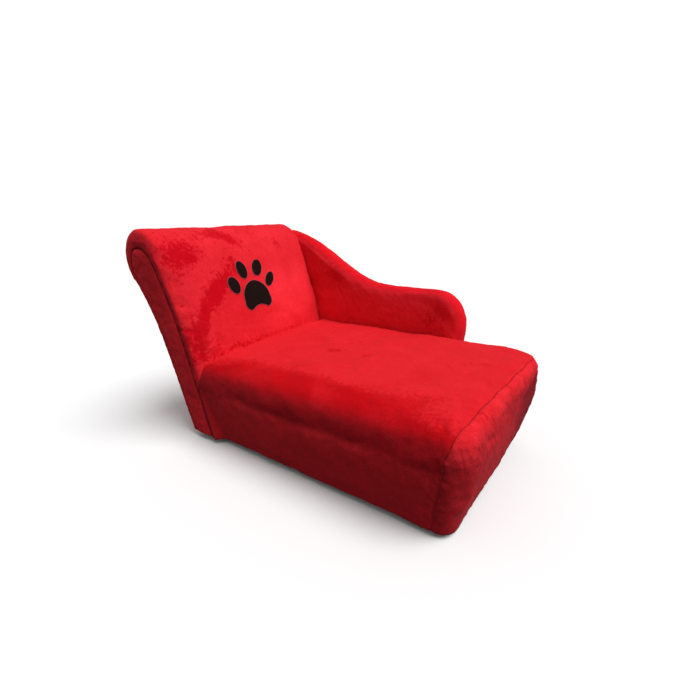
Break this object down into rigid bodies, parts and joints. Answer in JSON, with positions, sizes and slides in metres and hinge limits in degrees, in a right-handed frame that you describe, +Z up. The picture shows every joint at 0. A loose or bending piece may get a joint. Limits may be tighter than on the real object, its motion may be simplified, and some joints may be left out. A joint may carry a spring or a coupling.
{
  "type": "dog sofa bed",
  "caption": "Small plush-covered chaise for a dog: a crowned cushion seat, a leaning back with a rolled top and a paw-print patch, and one low curved arm along a long side.",
  "frame": {"origin": "middle of the whole part's box, at the floor", "axes": "+X from the back towards the foot end of the seat, +Y from the open long side towards the arm, +Z up"},
  "size_m": [0.7381, 0.4504, 0.4288],
  "materials": {
    "red_plush": "short soft plush pile, red, with a nap that shades darker where it is brushed",
    "paw_felt": "matt near-black felt",
    "dust_cloth": "thin black spun-bonded cloth",
    "foam": "open-cell cream foam",
    "wadding": "white fibre wadding",
    "fibreboard": "dull brown pressed board",
    "plywood": "raw sanded plywood",
    "softwood": "raw sawn softwood",
    "foot_plastic": "matt black moulded plastic",
    "zinc_steel": "zinc-plated steel"
  },
  "bodies": {
    "root": {"arm_bolts": "zinc_steel", "arm_bottom_rail": "softwood", "arm_cover": "red_plush", "arm_foam": "foam", "arm_front_post": "softwood", "arm_inner_board": "plywood", "arm_outer_board": "plywood", "arm_rear_post": "softwood", "arm_tee_nuts": "zinc_steel", "arm_top_rail": "softwood", "arm_washers": "zinc_steel", "back_bolts": "zinc_steel", "back_bottom_rail": "softwood", "back_cover": "red_plush", "back_foam": "foam", "back_front_skin": "fibreboard", "back_mid_rail": "softwood", "back_packing": "fibreboard", "back_rear_board": "fibreboard", "back_rear_rail": "softwood", "back_rear_wadding": "wadding", "back_side_board_arm": "plywood", "back_side_board_open": "plywood", "back_side_cover_arm": "red_plush", "back_side_cover_open": "red_plush", "back_tee_nuts": "zinc_steel", "back_top_rail": "softwood", "back_washers": "zinc_steel", "corner_blocks": "softwood", "dust_cover": "dust_cloth", "foot_1": "foot_plastic", "foot_2": "foot_plastic", "foot_3": "foot_plastic", "foot_4": "foot_plastic", "foot_end_cover": "red_plush", "foot_screws": "zinc_steel", "frame_screws": "zinc_steel", "paw_pad": "paw_felt", "paw_toe_1": "paw_felt", "paw_toe_2": "paw_felt", "paw_toe_3": "paw_felt", "paw_toe_4": "paw_felt", "seat_cover": "red_plush", "seat_deck": "plywood", "seat_foam": "foam", "seat_rail_arm": "softwood", "seat_rail_foot": "softwood", "seat_rail_head": "softwood", "seat_rail_middle": "softwood", "seat_rail_open": "softwood", "seat_wadding_arm": "wadding", "seat_wadding_foot": "wadding", "seat_wadding_open": "wadding"}
  },
  "joints": []
}
